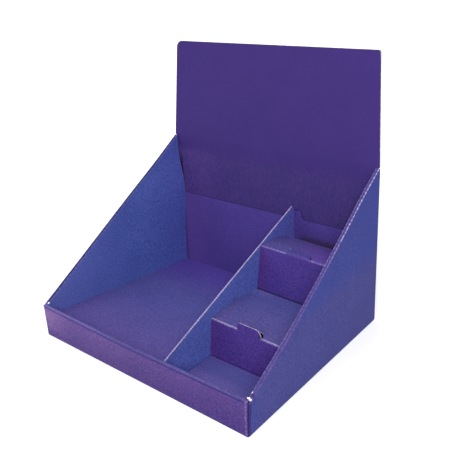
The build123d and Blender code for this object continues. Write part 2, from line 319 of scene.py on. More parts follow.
def add_sheet(sheet, lines, put, length, worn_and_shaded):
    """Board laid through rows of folded lines; put() turns a point of row t into a place, and the
    last argument says how rubbed pale each fold is, or, below nothing, how much painted shade it
    gets."""
    layers = notes_of(sheet, "run", "along", "fold", "cut", "wear_and_shade")
    grid = []
    for t, line in lines:
        row = []
        middle_run = {}
        for panel in range(int(line[-1][4]) + 1):
            runs = [station[2] for station in line if station[4] == panel]
            middle_run[panel] = (runs[0] + runs[-1]) / 2
        for point, normal, run, fold, panel in line:
            pair = []
            for side in (1, -1):
                offset = point + normal * board / 2 * side
                corner = sheet.verts.new(put(offset.x, offset.y, panel, t))
                to_cut = min(run, line[-1][2] - run, t * length, (1 - t) * length)
                wear_and_shade = worn_and_shaded[min(int(panel), len(worn_and_shaded) - 1)]
                if panel == int(panel) and panel > 0:
                    before = worn_and_shaded[min(int(panel) - 1, len(worn_and_shaded) - 1)]
                    wear_and_shade = before if fold < 0.002 and run < middle_run[int(panel)] else wear_and_shade
                for layer, amount in zip(layers, (run, t * length, fold, to_cut, wear_and_shade)):
                    corner[layer] = amount
                pair.append(corner)
            row.append(pair)
        grid.append(row)
    rows, columns = len(grid), len(grid[0])
    rings = []
    for r in range(rows - 1):
        for c in range(columns - 1):
            cell = (grid[r][c], grid[r][c + 1], grid[r + 1][c + 1], grid[r + 1][c])
            rings.append(([pair[0] for pair in cell], 0))
            rings.append(([pair[1] for pair in reversed(cell)], 0))
    for r in range(rows - 1):
        for c in (0, columns - 1):
            near, far = grid[r][c], grid[r + 1][c]
            rings.append(([near[0], far[0], far[1], near[1]], 1))
    for c in range(columns - 1):
        for r in (0, rows - 1):
            near, far = grid[r][c], grid[r][c + 1]
            rings.append(([near[0], near[1], far[1], far[0]], 2))
    made = []
    for ring, material_number in rings:
        made.append(sheet.faces.new(ring))
        made[-1].material_index = material_number
        made[-1].smooth = True
    bmesh.ops.recalc_face_normals(sheet, faces=made)


def finish_sheet(name, sheet, materials):
    """Turns the mesh into an object with crisp cut edges and soft folds."""
    bmesh.ops.remove_doubles(sheet, verts=sheet.verts, dist=2e-6)
    bmesh.ops.dissolve_degenerate(sheet, edges=sheet.edges, dist=2e-6)
    for edge in sheet.edges:
        if len(edge.link_faces) == 2 and edge.calc_face_angle() > 0.7:
            edge.smooth = False
    mesh = bpy.data.meshes.new(name)
    sheet.to_mesh(mesh)
    sheet.free()
    for material in materials:
        mesh.materials.append(material)
    piece = bpy.data.objects.new(name, mesh)
    scene.collection.objects.link(piece)
    return piece


def blend_to(start, stop, part):
    """A value part of the way from start to stop."""
    return start + (stop - start) * min(max(part, 0.0), 1.0)


def rolled_over(top, marks):
    """Folded line of a wall: out of the floor, up, over its narrow strip and down inside."""
    corners = (
        (lip, board / 2),
        (board / 2, board / 2),
        (board / 2, top),
        (wall - board / 2, top),
        (wall - board / 2, board + 2 * ply_gap),
    )
    return folded_line(corners, marks, (bend, bend, bend))


def even_rows(line, count):
    """The same folded line in even rows, from one end of the board to the other."""
    return [(number / count, line) for number in range(count + 1)]


tray_sheet = start_sheet()

# Side walls, the right one bowed out and the left one with a slack inner ply.
side_rows = 72
for side, stations, side_wear_and_shade in (
    (-1, left_lean, (-0.2, 0.25, 0.2)),
    (1, right_lean, (-0.2, 1.0, 0.94)),
):
    lines = []
    for number in range(side_rows + 1):
        t = number / side_rows
        top = front_height + slope * depth * t - board / 2 * hypot(1, slope)
        lines.append((t, rolled_over(top, (1, 14, 1, 14))))

    def put_side(inset, height, panel, t, side=side, stations=stations):
        """A point of a side wall. Its strip and inner ply start behind the front wall."""
        start = blend_to(lip, corner_setback, panel)
        start = blend_to(start, strip_start, (panel - 1) * 2)
        stop = blend_to(depth - lip, depth, panel)
        stop = blend_to(stop, depth - board - ply_gap, (panel - 1) * 2)
        if side < 0:
            stop = blend_to(stop, depth - 2 * board - 3 * ply_gap, (panel - 1) * 2)
        place = start + (stop - start) * t
        out = lean_at(place, stations) * max(height - crease, 0.0)
        if side < 0 and panel > 2:
            slack = blend_to(0, 1, (place - slack_start) / 0.115) ** 1.5
            slack *= blend_to(0, 1, (front_height + slope * place - height) / 0.025)
            out -= lean_at(height, slack_ply) * slack
        if side > 0:
            spread = blend_to(1, 0, (place - 0.02) / 0.15) * blend_to(0, 1, height / 0.04)
            out -= strip_spread * spread * blend_to(0, 1, (inset - board) / (wall - 2 * board))
        return (middle_x + side * (half - inset + out), front_y + place, height)

    add_sheet(tray_sheet, lines, put_side, depth, side_wear_and_shade)

# Front wall, between the two corner folds.
lines = even_rows(rolled_over(front_height - board / 2, (1, 4, 1, 4)), 60)


def put_front(inset, height, panel, t):
    """A point of the front wall. Its inner ply ends short of the side walls."""
    reach_out = blend_to(half - crease, round_half, panel)
    reach_out = blend_to(reach_out, end_half, (panel - 1) * 2)
    reach_out = blend_to(reach_out, half - wall - ply_gap, (panel - 2) * 2)
    along = (2 * t - 1) * reach_out
    out = lean_at(along + half, front_lean) * max(height - crease, 0.0)
    return (middle_x + along, front_y + inset - out, height)


add_sheet(tray_sheet, lines, put_front, width, (-0.2, -0.3, 0.6))

# The ends at the front corners are folds, not cuts, and the right wall's outer fold is rubbed more
# and more towards the back.
corner_reach = 0.0045
cut_layer, wear_and_shade_layer = notes_of(tray_sheet, "cut", "wear_and_shade")
for corner in tray_sheet.verts:
    place = corner.co.y - front_y
    if place < corner_reach:
        corner[cut_layer] = far_off
    if corner.co.x > middle_x and corner[wear_and_shade_layer] > 0.97:
        corner[wear_and_shade_layer] = blend_to(0.58, 1.1, (place - 0.10) / 0.1)
        if corner.co.z < front_height + slope * place - crease:
            corner[wear_and_shade_layer] *= blend_to(0.3, 0.9, (place - 0.14) / 0.08)

# Back wall and header: one panel with a soft bend just above the side walls.
header_height = 0.1429
header_lean = radians(4.0)
header_bend = 0.009
header_taper = 0.009
header_left_round = 0.009
header_right_round = 0.003
back_flap_height = 0.150
header_crease = side_height + ply_gap
bend_cut = header_bend * tan(header_lean / 2)
corners = (
    (-lip, board / 2),
    (-board / 2, board / 2),
    (-board / 2, header_crease),
    (
        -board / 2 + header_height * sin(header_lean),
        header_crease + header_height * cos(header_lean),
    ),
)
low = board / 2 + bend
back_run = header_crease - low - bend_cut
back_marks = [back_flap_height * number / 9 for number in range(9)]
back_marks += [back_flap_height - low, back_flap_height - low + 0.0003]
back_marks += [back_flap_height + (back_run - back_flap_height) * n / 5 for n in range(1, 6)]
header_run = header_height - bend_cut
header_marks = [header_run * number / 12 for number in range(12)]
header_marks += [header_run - header_left_round * (1 - sin(pi / 2 * n / 10)) for n in range(1, 11)]
back_line = folded_line(
    [(-y, z) for y, z in corners], (1, back_marks, header_marks), (bend, header_bend)
)
lines = even_rows(back_line, 48)


def put_back(inset, height, panel, t):
    """A point of the back wall or the header, whose free corners are rounded."""
    if panel < 1.5:
        reach_out = blend_to(half - crease, round_half, panel)
        if height > back_flap_height + 0.0001:
            reach_out = end_half
        sides = (reach_out, reach_out)
    else:
        risen = (height - header_crease) / cos(header_lean)
        tapered = half - header_taper * risen / header_height
        sides = []
        for corner_round in (header_left_round, header_right_round):
            over = min(max(risen - header_height + corner_round, 0.0), corner_round)
            cut_in = corner_round - sqrt(max(corner_round**2 - over**2, 0.0))
            sides.append(tapered - cut_in)
    along = -sides[0] + (sides[0] + sides[1]) * t
    return (middle_x + along, back_y - inset, height)


add_sheet(tray_sheet, lines, put_back, width, (0.2, 0.0))

# Corner flaps, folded round from the front wall and the back wall and caught in the sides.
for end, flap_length, flap_top in (
    ("front", 0.036, front_height - board - ply_gap),
    ("back", 0.034, back_flap_height),
):
    for side, stations in ((-1, left_lean), (1, right_lean)):
        corners = (
            (round_half, board / 2),
            (end_half - board / 2, board / 2),
            (end_half - board / 2, flap_length),
        )
        fold_end = board / 2 + bend
        open_part = strip_start - 0.0006 - fold_end
        flap_run = flap_length - fold_end
        flap_marks = [0.0, open_part / 2, open_part, open_part + 0.0005]
        flap_marks += [open_part + (flap_run - open_part) * n / 5 for n in range(1, 6)]
        flap_line = folded_line(
            [(-x, y) for x, y in corners], ([0.0, 0.00001], flap_marks), (bend,)
        )
        lines = even_rows(flap_line, 8)

        def put_flap(across, inset, panel, t, side=side, stations=stations, end=end):
            """A point of a corner flap, which leans with the side wall that holds it."""
            cut_in = blend_to(0.0, flap_taper, (inset - wall) / (flap_length - wall))
            low = board + ply_gap + cut_in
            top = flap_top - cut_in
            if end == "front" and inset < strip_start - 0.0004:
                top = front_height - 0.0003
            height = low + (top - low) * t
            out = 0.0
            if end == "front":
                out = lean_at(inset, stations) * (height - crease) * min(inset / strip_start, 1.0)
            place = front_y + inset if end == "front" else back_y - inset
            return (middle_x + side * (-across + out), place, height)

        add_sheet(tray_sheet, lines, put_flap, flap_top, (0.15 if end == "front" else 0.4,))

# Floor, with slots for the tabs of the inner plies, the divider and the liner.
tab_length = 0.032
tab_gap = 0.0003
side_tab_places = (0.070, 0.215)
divider_tab_places = (0.062, 0.226)
liner_tab_aside = 0.095
ply_middle = half - wall + board / 2
divider_low, divider_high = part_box("divider")
divider_x = (divider_low.x + divider_high.x) / 2
liner_low, liner_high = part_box("back_liner")
liner_y = (liner_low.y + liner_high.y) / 2
ply_tabs = [
    (middle_x + side * ply_middle, front_y + place) for side in (-1, 1) for place in side_tab_places
]
divider_tabs = [(divider_x, front_y + place) for place in divider_tab_places]
across = board / 2 + ply_gap
lengthwise = tab_length / 2 + tab_gap
holes = []
for x, y in ply_tabs + divider_tabs:
    holes.append((x - across, x + across, y - lengthwise, y + lengthwise))
for x in (middle_x - liner_tab_aside, middle_x + liner_tab_aside):
    holes.append((x - lengthwise, x + lengthwise, liner_y - across, liner_y + across))
x_lines = {left_x + lip, right_x - lip}
y_lines = {front_y + lip, back_y - lip}
for low_x, high_x, low_y, high_y in holes:
    x_lines |= {low_x, high_x}
    y_lines |= {low_y, high_y}
x_lines, y_lines = sorted(x_lines), sorted(y_lines)
floor_faces = []
corner_of = {}
for x_0, x_1 in zip(x_lines, x_lines[1:]):
    for y_0, y_1 in zip(y_lines, y_lines[1:]):
        middle = ((x_0 + x_1) / 2, (y_0 + y_1) / 2)
        if any(a < middle[0] < b and c < middle[1] < d for a, b, c, d in holes):
            continue
        for key in ((x_0, y_0), (x_1, y_0), (x_1, y_1), (x_0, y_1)):
            if key not in corner_of:
                corner_of[key] = tray_sheet.verts.new((*key, 0.0))
        ring = [corner_of[key] for key in ((x_0, y_0), (x_0, y_1), (x_1, y_1), (x_1, y_0))]
        floor_faces.append(tray_sheet.faces.new(ring))
risen = bmesh.ops.extrude_face_region(tray_sheet, geom=floor_faces, use_keep_orig=True)["geom"]
floor_top = [element for element in risen if isinstance(element, bmesh.types.BMVert)]
for corner in floor_top:
    corner.co.z = board
for face in floor_faces:
    face.normal_update()
note_plain(tray_sheet, list(corner_of.values()) + floor_top)

# Tabs of the inner plies, down in the floor.
tab_height = board + 2 * ply_gap - tab_gap
tab_size = Vector((board, tab_length, tab_height))
for x, y in ply_tabs:
    tab = bmesh.ops.create_cube(tray_sheet, size=1.0)["verts"]
    for corner in tab:
        corner.co = Vector((x, y, tab_gap + tab_height / 2)) + corner.co * tab_size
    note_plain(tray_sheet, tab)

# A flake of the liner paper, torn up and left bare at the right front corner.
flake_root = Vector((middle_x + 0.1732, -0.1400, 0.0463))
flake_run = Vector((-0.0019, -0.0013, 0.0023))
flake_aside = Vector((0.385, 0.650, 0.640))
flake_up = flake_run.cross(flake_aside).normalized()
flake_half_width = 0.0008
flake_half_thickness = 0.00015
flake_arch = 0.0003
flake_rings = []
for number in range(6):
    part = number / 5
    middle = flake_root + flake_run * part + flake_up * flake_arch * sin(pi * part)
    wide = flake_aside * flake_half_width * (1 - 0.75 * part**2)
    ring = []
    for across, over in ((-1, -1), (1, -1), (1, 1), (-1, 1)):
        place = middle + wide * across + flake_up * flake_half_thickness * over
        ring.append(tray_sheet.verts.new(place))
    note_plain(tray_sheet, ring)
    flake_rings.append(ring)
flake_faces = [tray_sheet.faces.new(flake_rings[0]), tray_sheet.faces.new(flake_rings[-1][::-1])]
for near, far in zip(flake_rings, flake_rings[1:]):
    for number in range(4):
        after = (number + 1) % 4
        ring = (near[number], far[number], far[after], near[after])
        flake_faces.append(tray_sheet.faces.new(ring))
bmesh.ops.recalc_face_normals(tray_sheet, faces=flake_faces)


def times(*sources):
    """Shader values multiplied together."""
    product = sources[0]
    for source in sources[1:]:
        product = reckon("MULTIPLY", product, source)
    return product


def zone(*limits):
    """1 where each value is past its second number, 0 where one is not past its first."""
    return times(*(fade(*limit) for limit in limits))


def split(vector):
    """The X, Y and Z of a place or a direction."""
    parts = new_node("SeparateXYZ", vector)
    feed(vector, parts.inputs[0])
    return parts.outputs[:]


def tint(amount, first, second, blend="MIX"):
    """The first colour, carried towards the second."""
    mix = new_node("Mix", amount, first, second)
    mix.data_type = "RGBA"
    mix.blend_type = blend
    for source, number in ((amount, 0), (first, 6), (second, 7)):
        feed((*source, 1) if isinstance(source, tuple) else source, mix.inputs[number])
    return mix.outputs[2]


def stain(ink, film, amount=1.0):
    """Ink under a coloured film."""
    return tint(amount, ink, film, "MULTIPLY")


def speckle(where, scale, detail=2.0, roughness=0.6, stretch=(1, 1, 1)):
    """Even noise, from 0 to 1 about 0.5, fixed to the board."""
    stretched = new_node("Mapping", where)
    stretched.inputs["Scale"].default_value = stretch
    feed(where, stretched.inputs["Vector"])
    noise = new_node("TexNoise", where)
    settings = (("Scale", scale), ("Detail", detail), ("Roughness", roughness))
    for socket, value in (*settings, ("Vector", stretched.outputs[0])):
        feed(value, noise.inputs[socket])
    return noise.outputs["Fac"]


def noted(where, name):
    """What the mesh noted at each point: a distance on the flat sheet, in metres."""
    note = new_node("Attribute", where)
    note.attribute_name = name
    return note.outputs["Fac"]


def emboss(shader, height, strength, deep):
    """Raises and sinks the surface by a shader value."""
    bump = new_node("Bump", height)
    for socket, value in (("Strength", strength), ("Distance", deep), ("Height", height)):
        feed(value, bump.inputs[socket])
    feed(bump.outputs[0], shader.inputs["Normal"])


# Ink for surfaces that face the front, the sides and up, with painted light: bluer on the sides,
# lighter on top.
front_face_ink_and_light = (0.060, 0.033, 0.208)
side_face_ink_and_light = (0.050, 0.063, 0.265)
top_face_ink_and_light = (0.085, 0.070, 0.275)
rubbed_ink = (0.45, 0.38, 0.62)
# Painted shade for inward folds.
inward_fold_shade = (0.03, 0.022, 0.13)
dot_spacing = 0.0054
flute_spacing = 0.0033


def printed_board(name, special, grain_depth=2.7, cut_wear=0.5, chip_reach=0.0009, calm=None):
    """Violet print on board: painted light makes it bluer on the sides and lighter on top, and it
    is mottled, speckled and rubbed pale along the folds, in dashes where the flutes cross them."""
    material, shader, where = new_material(name, 0.62, 0.08)
    place = split(where)
    facing = split(new_node("NewGeometry", where).outputs["True Normal"])
    # Painted light: the ink is tinted by which way the surface faces.
    sideways = fade(reckon("ABSOLUTE", facing[0]), 0.3, 0.8)
    ink = tint(sideways, front_face_ink_and_light, side_face_ink_and_light)
    ink = tint(fade(facing[2], 0.3, 0.8), ink, top_face_ink_and_light)
    ink = special(ink, where, place, facing)
    # Broad unevenness of the ink, then fine pink and blue speckle.
    broad = speckle(where, 22.0, 3.0)
    ink = stain(ink, (0.92, 0.92, 0.95), fade(broad, 0.35, 0.7))
    even_ink = ink
    grain = reckon("SUBTRACT", speckle(where, 620.0, 2.0, 0.8), 0.5)
    grey = new_node("CombineXYZ", where)
    for number, share in enumerate((1.0, 1.0, 0.55)):
        feed(reckon("MULTIPLY_ADD", grain, share * grain_depth, 1.0), grey.inputs[number])
    ink = stain(ink, grey.outputs[0])
    hue = speckle(where, 480.0, 2.0, 0.7, (1.0, 1.2, 0.9))
    ink = stain(ink, (0.80, 1.04, 1.04), fade(hue, 0.5, 0.7))
    ink = stain(ink, (1.28, 0.96, 0.98), fade(hue, 0.5, 0.3))
    if calm:
        ink = tint(calm(*place), ink, even_ink)
    # Outward folds are rubbed: a thin pale line, brighter in dots where the flutes cross it.
    # Inward folds, noted as less than nothing, get painted shade: a dark line where shade falls in
    # the crease.
    fold = noted(where, "fold")
    wear_and_shade = noted(where, "wear_and_shade")
    beat = reckon("SINE", times(noted(where, "along"), 2 * pi / dot_spacing))
    uneven = speckle(where, 330.0, 2.0, 0.6)
    dots = reckon("MULTIPLY_ADD", beat, 0.13, uneven)
    dots = reckon("MULTIPLY_ADD", fade(dots, 0.42, 0.62), 0.75, 0.25)
    patches = fade(speckle(where, 26.0, 1.0), 0.35, 0.6)
    patches = reckon("MULTIPLY_ADD", patches, 0.4, 0.6)
    outward = reckon("MAXIMUM", wear_and_shade, 0.0)
    scraped = times(fade(fold, 0.001, 0.0002), dots, patches, outward)
    inward = reckon("MINIMUM", wear_and_shade, 0.0)
    ink = tint(times(fade(fold, 0.0014, 0.0003), inward, -1.0), ink, inward_fold_shade)
    # Cut edges, where the ink is chipped.
    chip = zone((noted(where, "cut"), chip_reach, 0.0), (uneven, 0.4, 0.65))
    ink = tint(reckon("MAXIMUM", scraped, times(chip, cut_wear)), ink, rubbed_ink)
    feed(ink, shader.inputs["Base Color"])
    # Relief: paper fibre, the faint ribs of the flutes and slow unevenness.
    relief = times(speckle(where, 1800.0, 3.0), 0.25)
    relief = reckon("MULTIPLY_ADD", speckle(where, 160.0, 2.0), 0.6, relief)
    relief = reckon("MULTIPLY_ADD", speckle(where, 18.0, 1.0), 2.5, relief)
    emboss(shader, relief, 0.35, 0.0004)
    feed(reckon("MULTIPLY_ADD", uneven, 0.16, 0.54), shader.inputs["Roughness"])
    return material


def raw_edge(name, run_name, pale=(0.46, 0.42, 0.66), special=None):
    """A cut edge of the board: two pale liners with the wave of the fluting between them."""
    material, shader, where = new_material(name, 0.9, 0.1)
    wave = reckon("SINE", times(noted(where, run_name), 2 * pi / flute_spacing))
    tone = reckon("MULTIPLY_ADD", wave, 0.12, speckle(where, 700.0, 3.0, 0.7))
    # The dark phase of the wave is painted shade in the open flutes.
    dark, stained = (tuple(share * part for part in pale) for share in (0.35, 0.45))
    edge = tint(fade(tone, 0.3, 0.7), dark, pale)
    edge = tint(fade(speckle(where, 60.0, 2.0), 0.35, 0.75), edge, stained)
    if special:
        edge = special(edge, where)
    feed(edge, shader.inputs["Base Color"])
    emboss(shader, tone, 0.5, 0.0003)
    return material


bare_spots = (
    (0.1754, -0.1407, 0.0465, 0.0014),
    (0.1725, -0.1401, 0.0476, 0.0017),
    (0.1722, -0.1336, 0.0500, 0.0015),
    (-0.1706, -0.1387, 0.0471, 0.0011),
)


def show_bare(colour, where):
    """Board rubbed bare in small spots at the front corners."""
    ragged = times(speckle(where, 700.0, 1.0), 0.0014)
    for x, y, z, size in bare_spots:
        near = reckon("ADD", distance_from(where, (middle_x + x, y, z)), ragged)
        bare = fade(near, size + 0.0010, size + 0.0005)
        colour = tint(bare, colour, (0.90, 0.86, 0.92))
    return colour


def tray_ink(ink, where, place, facing):
    """The front wall is pinker and blotched, with a painted sheen; the side walls differ, the left
    one lit by painted light inside; painted shade lies in the gaps; the back is dark and ribbed.
    """
    x, y, z = place
    facing_x, facing_y, facing_z = facing
    # Outside of the right wall: bluer along its sloping top and at both ends, greyer low down.
    low_down = zone((z, 0.115, 0.075), (y, front_y + 0.002, front_y + 0.022))
    right_ink = tint(low_down, (0.042, 0.053, 0.250), (0.056, 0.057, 0.230))
    on_right = zone((facing_x, 0.5, 0.8), (x, middle_x + 0.1, middle_x + 0.12))
    ink = tint(on_right, ink, right_ink)
    # Inside of the left wall, painted lighter as painted light where the box keeps light off it,
    # and its dark roll-over strip.
    on_left = zone((facing_x, 0.5, 0.8), (x, middle_x - 0.1, middle_x - 0.12))
    left_ink_and_light = tint(fade(y, -0.15, 0.02), (0.098, 0.119, 0.396), (0.070, 0.103, 0.365))
    left_ink_and_light = tint(fade(y, 0.05, 0.13), left_ink_and_light, (0.068, 0.088, 0.355))
    ink = tint(on_left, ink, left_ink_and_light)
    on_strip = zone(
        (facing_z, 0.3, 0.6),
        (x, left_x + 0.012, left_x + 0.009),
        (z, front_height - 0.002, front_height + 0.004),
    )
    ink = tint(on_strip, ink, (0.026, 0.028, 0.125))
    # The right wall's strip is duller, and bare board shows in spots at its front end.
    on_strip = zone(
        (facing_z, 0.3, 0.6),
        (x, right_x - 0.012, right_x - 0.009),
        (z, front_height - 0.001, front_height + 0.003),
    )
    front_end = fade(y, front_y + 0.0125, front_y + 0.0105)
    ink = tint(on_strip, ink, tint(front_end, (0.067, 0.050, 0.200), (0.042, 0.030, 0.130)))
    # Painted shade at the front corners, on the side just behind the front wall's fold, where the
    # gap to the side's cut edge lies in shade.
    sideways = reckon("ABSOLUTE", facing_x)
    at_corner = zone((y, front_y + 0.0045, front_y + 0.0035), (sideways, 0.5, 0.8))
    ink = tint(at_corner, ink, (0.038, 0.018, 0.115))
    # Outside of the front wall: blotched, lighter towards the top, with a painted sheen that grows
    # towards the left end and is palest at the top of it.
    outside = zone((facing_y, -0.3, -0.6), (y, front_y + 0.0035, front_y + 0.001))
    blotch = speckle(where, 210.0, 2.0, 0.6, (1.0, 1.0, 1.3))
    pink = tint(fade(x, right_x, left_x), (0.064, 0.036, 0.168), (0.094, 0.056, 0.204))
    left_end = zone((x, middle_x - half * 0.62, middle_x - half * 1.02), (z, 0.004, 0.022))
    pink = tint(left_end, pink, (0.150, 0.090, 0.255))
    rise = fade(z, 0.0, front_height * 1.05)
    pink = tint(rise, stain(pink, (0.84, 0.84, 0.92)), stain(pink, (1.18, 1.18, 1.08)))
    pink = stain(pink, (0.82, 0.95, 1.0), fade(blotch, 0.5, 0.72))
    pink = stain(pink, (1.22, 1.05, 1.02), fade(blotch, 0.5, 0.28))
    # Painted shade in a dark line just under the top fold.
    under_fold = fade(z, front_height - 0.0034, front_height - 0.0022)
    pink = tint(under_fold, pink, stain(pink, (0.40, 0.50, 0.70)))
    ink = tint(outside, ink, pink)
    # The front wall's top strip gets a painted sheen too, lighter towards its left end.
    on_front = zone(
        (facing_z, 0.3, 0.8),
        (y, front_y + 0.0062, front_y + 0.0056),
        (z, front_height - 0.003, front_height - 0.002),
    )
    bright_end = fade(x, middle_x - half * 0.1, middle_x - half * 0.65)
    ink = tint(on_front, ink, tint(bright_end, (0.098, 0.081, 0.262), (0.148, 0.120, 0.345)))
    # Inside of the back wall and header: an even, deep violet; below it duller, finely ribbed.
    behind = zone((y, back_y - 0.004, back_y - 0.003), (facing_y, -0.5, -0.9))
    ink = tint(behind, ink, (0.0415, 0.0225, 0.143))
    below = fade(z, header_crease - 0.012, header_crease - 0.03)
    streaks = fade(speckle(where, 520.0, 2.0, 0.8, (1.0, 1.0, 0.3)), 0.3, 0.7)
    to_left = fade(x, middle_x - half * 0.4, middle_x - half * 0.95)
    dull = tint(to_left, (0.044, 0.0275, 0.143), (0.066, 0.038, 0.185))
    dull = tint(streaks, stain(dull, (0.82, 0.88, 0.88)), stain(dull, (1.2, 1.12, 1.12)))
    ink = tint(times(behind, below), ink, dull)
    # Painted shade in the gap where the left wall's slack inner ply stands away from the back.
    beside_ply = fade(x, left_x + 0.0125, left_x + 0.0095)
    gap_shade = times(behind, beside_ply, fade(z, 0.2, 0.165))
    ink = tint(gap_shade, ink, (0.016, 0.010, 0.040))
    rim = zone((noted(where, "cut"), 0.0014, 0.0004), (z, header_crease, header_crease + 0.002))
    return show_bare(tint(rim, ink, (0.022, 0.014, 0.075)), where)


def calm_header(x, y, z):
    """The back wall is less grainy than the rest, and the header smooth."""
    high = fade(z, header_crease - 0.02, header_crease)
    back = fade(y, back_y - 0.006, back_y - 0.004)
    return times(back, reckon("MULTIPLY_ADD", high, 0.4, 0.5))


violet = printed_board("violet_board", tray_ink, calm=calm_header)


def corner_edges(edge, where):
    """At the front corners the upright cut edges are darker, and paler at their tips."""
    x, y, z = split(where)
    in_front = fade(y, front_y + 0.012, front_y + 0.009)
    below = fade(z, front_height - 0.001, front_height - 0.003)
    edge = tint(times(in_front, below), edge, (0.035, 0.024, 0.14))
    tips = times(in_front, reckon("SUBTRACT", 1.0, below))
    return show_bare(tint(tips, edge, (0.12, 0.09, 0.26)), where)


edge_along = raw_edge("edge_along", "along", special=corner_edges)
edge_across = raw_edge("edge_across", "run", special=corner_edges)
tray = finish_sheet("tray_board", tray_sheet, (violet, edge_along, edge_across))
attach(tray, "root")
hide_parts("tray")


# Divider. One board standing between the two bays: its front end is hooked into the front wall
# and its back end slid down into the liner's slot. Its sloping top edge is bare, rubbed board.
def cut_up(node, *cuts):
    """A copy of a node's board, cut finely enough to be bent and to hold notes of wear and painted
    shade.
    """
    sheet = start_sheet()
    sheet.from_mesh(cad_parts[node].data)
    bmesh.ops.remove_doubles(sheet, verts=sheet.verts, dist=1e-5)
    for axis, places in zip(range(3), cuts):
        direction = Vector((axis == 0, axis == 1, axis == 2))
        for place in places:
            cut_across(sheet, direction * place, direction)
    return sheet


def cut_across(sheet, place, direction):
    """Cuts every face where a plane crosses it."""
    bmesh.ops.bisect_plane(
        sheet,
        geom=list(sheet.verts) + list(sheet.edges) + list(sheet.faces),
        plane_co=place,
        plane_no=direction,
        dist=1e-6,
    )


def note_board(sheet, axis, is_edge):
    """Notes how far each point is along the board, and gives the cut edges their material."""
    along_layer = notes_of(sheet, "along")[0]
    for corner in sheet.verts:
        corner[along_layer] = corner.co[axis]
    note_plain(sheet, sheet.verts)
    for face in sheet.faces:
        face.smooth = True
        face.material_index = int(is_edge(face.normal))


def from_line(point, start, stop):
    """Distance of a point from a line between two others, and the line's direction."""
    run = stop - start
    part = min(max((point - start).dot(run) / run.length_squared, 0.0), 1.0)
    return (point - start - run * part).length, run.normalized()


def steps(start, stop, size):
    """Even places between two others."""
    count = max(1, round((stop - start) / size))
    return [start + (stop - start) * number / count for number in range(1, count)]


low, high = divider_low, divider_high
sheet = cut_up("divider", (), steps(low.y, high.y, 0.006), steps(low.z, high.z, 0.012))
hook_top = 0.030
highest = max(sheet.verts, key=lambda corner: corner.co.z).co
foremost = min((c for c in sheet.verts if c.co.z > hook_top), key=lambda corner: corner.co.y).co
ridge = [foremost.yz, highest.yz]
ridge_run = (ridge[1] - ridge[0]).normalized()
ridge_up = Vector((0, -ridge_run.y, ridge_run.x))
for down in (0.0009, 0.002):
    cut_across(sheet, Vector((0, *ridge[0])) - ridge_up * down, ridge_up)
note_board(sheet, 1, lambda normal: abs(normal.x) < 0.5)
cut_layer = notes_of(sheet, "cut")[0]
for corner in sheet.verts:
    corner[cut_layer] = from_line(corner.co.yz, *ridge)[0]


def divider_ink(ink, where, place, facing):
    """The side that looks into the stepped bay is painted a lighter blue, painted light where the
    bay lies in shade, lightest low at the front, redder towards the back.
    """
    x, y, z = place
    bluer = tint(fade(y, 0.05, 0.13), (0.089, 0.120, 0.408), (0.098, 0.104, 0.410))
    # Painted light: lighter still low at the front, where the bay's walls cast shade.
    low_front = zone((y, -0.085, -0.12), (z, 0.04, 0.02))
    bluer = tint(low_front, bluer, (0.118, 0.148, 0.500))
    seam = fade(z, 0.0046, 0.0038)
    bluer = tint(seam, bluer, (0.066, 0.078, 0.300))
    return tint(fade(facing[0], 0.3, 0.8), ink, bluer)


divider_print = printed_board("divider_print", divider_ink, cut_wear=1.0, chip_reach=0.0018)
divider_edge = raw_edge("divider_edge", "along", (0.56, 0.48, 0.78))
divider = finish_sheet("divider_board", sheet, (divider_print, divider_edge))
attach(divider, "root")
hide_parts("divider")

# Step insert. One strip of the same board, folded into a floor, two risers, two arched treads and
# a back leg, and pushed in beside the divider. A stop tab is cut into each riser's top fold: the
# front one stands up, with painted shade beside the hole it leaves; the rear one is tipped up only
# part of the way.
low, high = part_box("step_insert")
floor_middle = board + board / 2
fold_points = [
    Vector((front_y + wall + 0.0003, floor_middle)),
    Vector((front_y + 0.088 + board / 2, floor_middle)),
    Vector((front_y + 0.0945 + board / 2, 0.0568 - board / 2)),
    Vector((front_y + 0.1895 + board / 2, 0.0552 - board / 2)),
    Vector((front_y + 0.2015 + board / 2, 0.112 - board / 2)),
    Vector((front_y + 0.262 - board / 2, 0.1045 - board / 2)),
    Vector((front_y + 0.259 - board / 2, 0.0)),
]
folds = fold_points[1:-1]
stop_half = 0.0175
stop_height = 0.0095
stop_round = 0.0085
riser_run = fold_points[2] - fold_points[1]
tab_top = fold_points[2] + riser_run.normalized() * stop_height
tab_middle = (low.x + high.x) / 2 - 0.0028
near_folds = [point.x + shift for point in folds for shift in (-0.004, -0.002, 0.002, 0.004)]
near_heights = [point.y + shift for point in folds for shift in (-0.004, 0.004)]
beside_tabs = [
    tab_middle + side * (stop_half + out) for side in (-1, 1) for out in (-0.0006, 0.0012)
]
sheet = cut_up(
    "step_insert",
    sorted(beside_tabs + steps(low.x, high.x, 0.006)),
    sorted(near_folds + steps(low.y, high.y, 0.009)),
    sorted(near_heights + steps(low.z, high.z, 0.009)),
)
along_layer, fold_layer, cut_layer, wear_and_shade_layer = notes_of(sheet, "along", "fold", "cut", "wear_and_shade")
segments = list(zip(fold_points, fold_points[1:])) + [(fold_points[2], tab_top)]
for face in sheet.faces:
    face.smooth = True
    middle = face.calc_center_median().yz
    nearest = min((from_line(middle, *ends) for ends in segments), key=lambda pair: pair[0])
    direction = nearest[1]
    across = face.normal.yz.dot(Vector((-direction.y, direction.x)))
    if abs(face.normal.x) > 0.6 or abs(across) < 0.5:
        face.material_index = 1
